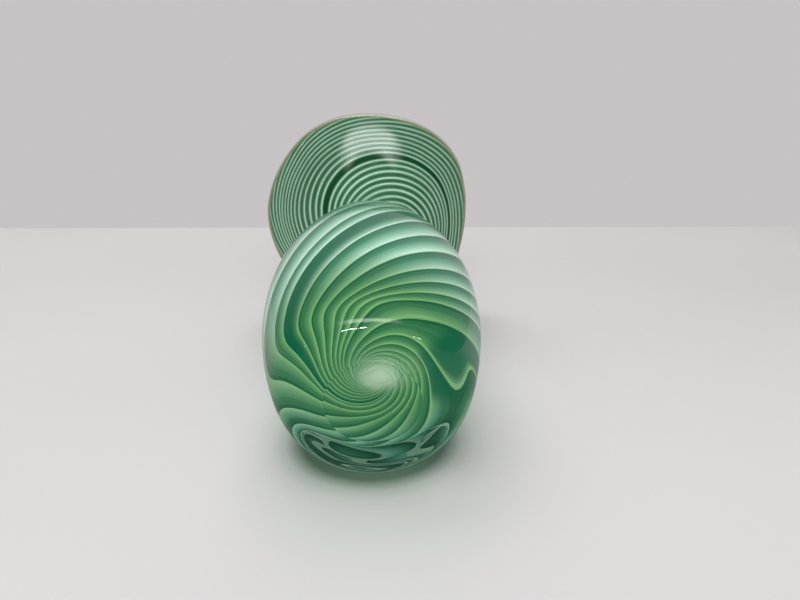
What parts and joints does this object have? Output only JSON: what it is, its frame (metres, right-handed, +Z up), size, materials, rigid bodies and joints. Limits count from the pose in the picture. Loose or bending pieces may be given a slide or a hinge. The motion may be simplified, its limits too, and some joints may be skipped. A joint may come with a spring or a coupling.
{
  "type": "cased glass vase with spiral stripes",
  "caption": "Heavy cased glass vase lying on its side, with a round foot, narrow neck, wavy flared rim and white canes spiralling through green glass under clear glass.",
  "frame": {"origin": "middle of the bounding box's footprint, on the surface the vase lies on (z = 0)", "axes": "+Z up; the vase lies on its side with its foot towards -Y and its mouth towards +Y; its own axis lies in the YZ plane and rises 8.07 degrees from foot to mouth; +X to the right when looking at the foot"},
  "size_m": [0.1438, 0.2378, 0.1457],
  "materials": {
    "clear_glass": "gloss",
    "green_glass": "gloss",
    "opal_glass": "gloss"
  },
  "bodies": {
    "root": {"clear_casing": "clear_glass", "green_liner": "green_glass", "inner_gather": "clear_glass", "opal_bead": "opal_glass", "white_cane_01": "opal_glass", "white_cane_02": "opal_glass", "white_cane_03": "opal_glass", "white_cane_04": "opal_glass", "white_cane_05": "opal_glass", "white_cane_06": "opal_glass", "white_cane_07": "opal_glass", "white_cane_08": "opal_glass", "white_cane_09": "opal_glass", "white_cane_10": "opal_glass", "white_cane_11": "opal_glass", "white_cane_12": "opal_glass", "white_cane_13": "opal_glass", "white_cane_14": "opal_glass", "white_cane_15": "opal_glass", "white_cane_16": "opal_glass", "white_cane_17": "opal_glass"}
  },
  "joints": []
}
